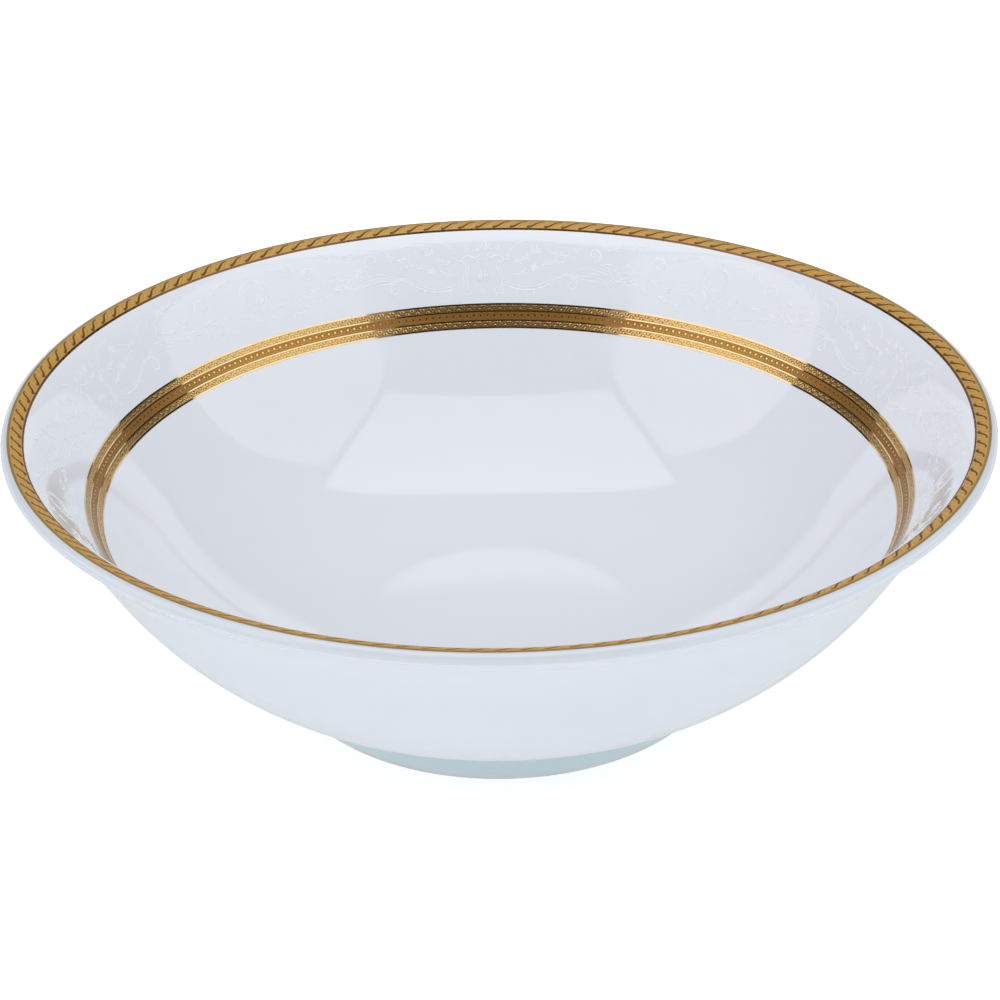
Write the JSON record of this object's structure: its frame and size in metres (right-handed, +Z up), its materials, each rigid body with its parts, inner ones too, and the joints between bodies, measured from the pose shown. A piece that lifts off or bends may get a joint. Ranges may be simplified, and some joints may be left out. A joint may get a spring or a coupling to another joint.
{
  "type": "porcelain serving bowl",
  "caption": "Round flared porcelain bowl on a foot ring, clear glazed, with an etched gold rim and an etched gold band inside.",
  "frame": {"origin": "centre of the foot ring, on the table", "axes": "+Z up, out of the bowl's mouth, along its axis of turning; X and Y lie in the table and are alike"},
  "size_m": [0.23, 0.23, 0.0711],
  "materials": {
    "fired_porcelain": "matt, vitrified, slightly translucent",
    "bare_porcelain": "matt, ground smooth",
    "inside_glaze": "clear high gloss",
    "outside_glaze": "clear high gloss",
    "recess_glaze": "clear gloss, slightly pooled",
    "white_enamel": "satin, slightly raised",
    "satin_gold": "satin burnished gilding",
    "rim_etched_gold": "etched, bright figures on a matt ground",
    "band_etched_gold": "etched, bright figures on a matt ground",
    "polished_gold": "mirror burnished gilding"
  },
  "bodies": {
    "root": {"porcelain_body": "fired_porcelain", "foot_ring": "bare_porcelain", "inner_glaze": "inside_glaze", "outer_glaze": "outside_glaze", "recess_glaze": "recess_glaze", "white_relief": "white_enamel", "rim_edge_line": "satin_gold", "rim_rope_course": "rim_etched_gold", "rim_inner_line": "polished_gold", "band_top_line": "polished_gold", "band_upper_braid": "band_etched_gold", "band_upper_rule": "polished_gold", "band_bead_course": "band_etched_gold", "band_lower_rule": "polished_gold", "band_lower_braid": "band_etched_gold", "band_bottom_line": "polished_gold"}
  },
  "joints": []
}
